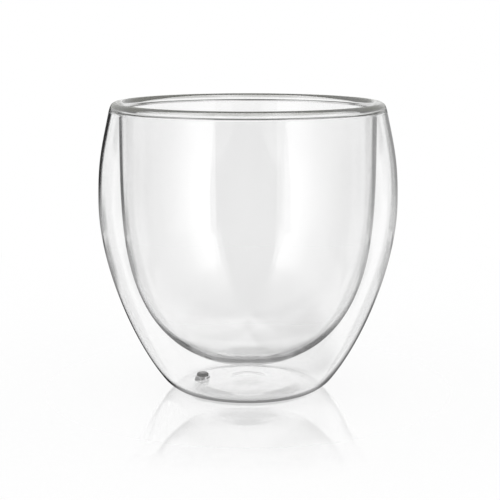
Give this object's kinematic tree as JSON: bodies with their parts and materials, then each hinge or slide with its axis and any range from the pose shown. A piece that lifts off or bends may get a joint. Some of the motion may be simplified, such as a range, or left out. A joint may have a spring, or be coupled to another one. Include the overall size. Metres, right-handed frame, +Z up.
{
  "type": "double walled glass cup",
  "caption": "Double walled glass cup: a deep round inner bowl fused at the rim into a bellied outer shell, with sealed air between them and a small silicone vent plug in the floor.",
  "frame": {"origin": "centre of the base, on the plane that the cup stands on", "axes": "+Z up along the cup's axis, +X to the right and +Y away from the viewer as in the picture, so that the vent plug lies on the -X side"},
  "size_m": [0.0902, 0.0902, 0.0875],
  "materials": {
    "outer_glass": "clear blown borosilicate glass, fire polished",
    "inner_glass": "clear blown borosilicate glass, fire polished",
    "rim_glass": "melted and fire polished borosilicate glass, faintly olive where it is thick",
    "plug_silicone": "smooth translucent grey silicone"
  },
  "bodies": {
    "root": {"outer_shell": "outer_glass", "inner_bowl": "inner_glass", "fused_rim": "rim_glass", "vent_plug": "plug_silicone"}
  },
  "joints": []
}
